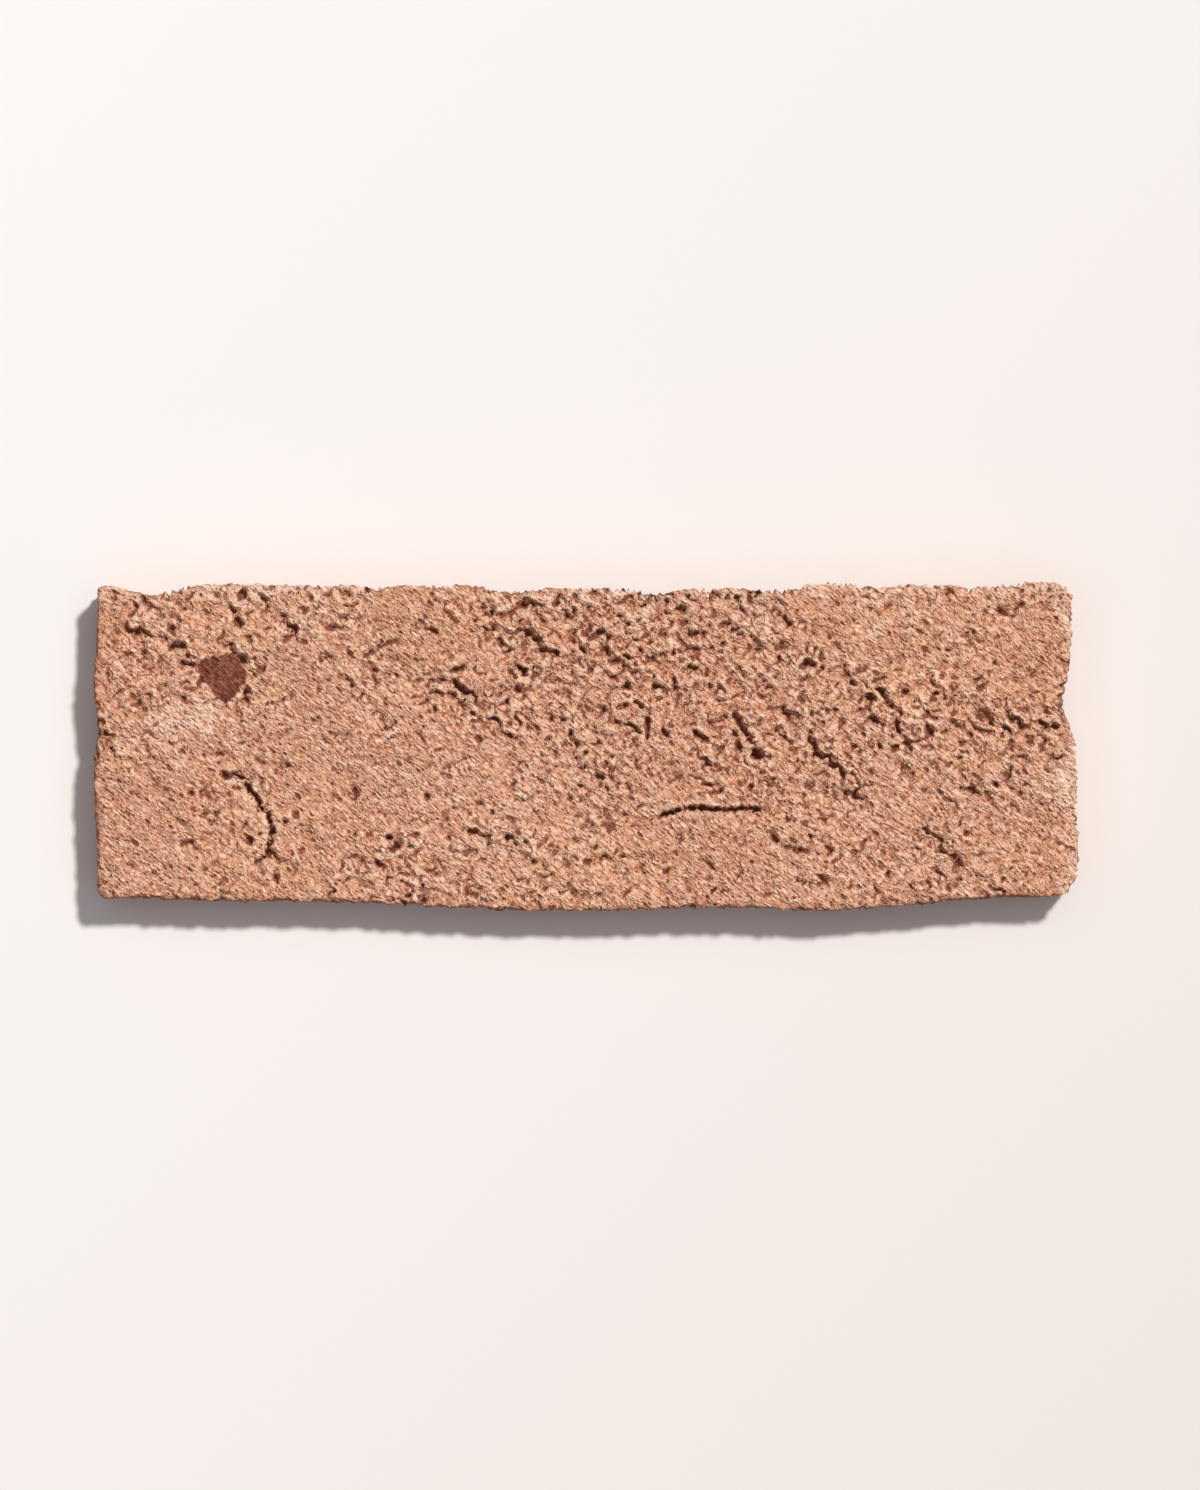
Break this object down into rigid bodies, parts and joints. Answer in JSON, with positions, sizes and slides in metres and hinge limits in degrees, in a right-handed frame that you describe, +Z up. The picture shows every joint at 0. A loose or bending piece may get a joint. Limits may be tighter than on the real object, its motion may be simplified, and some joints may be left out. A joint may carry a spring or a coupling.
{
  "type": "brick slip facing tile",
  "caption": "Thin hand-moulded fired clay facing tile with an uneven outline, a creased and cracked face and a flat back.",
  "frame": {"origin": "centre of the sawn back, at the middle of the tile's outline", "axes": "+X along the length, +Y across it to the ragged upper edge, +Z up through the face"},
  "size_m": [0.205, 0.0684, 0.0154],
  "materials": {
    "fired_clay": "matt unglazed, sand-struck and creased"
  },
  "bodies": {
    "root": {"facing_tile": "fired_clay"}
  },
  "joints": []
}
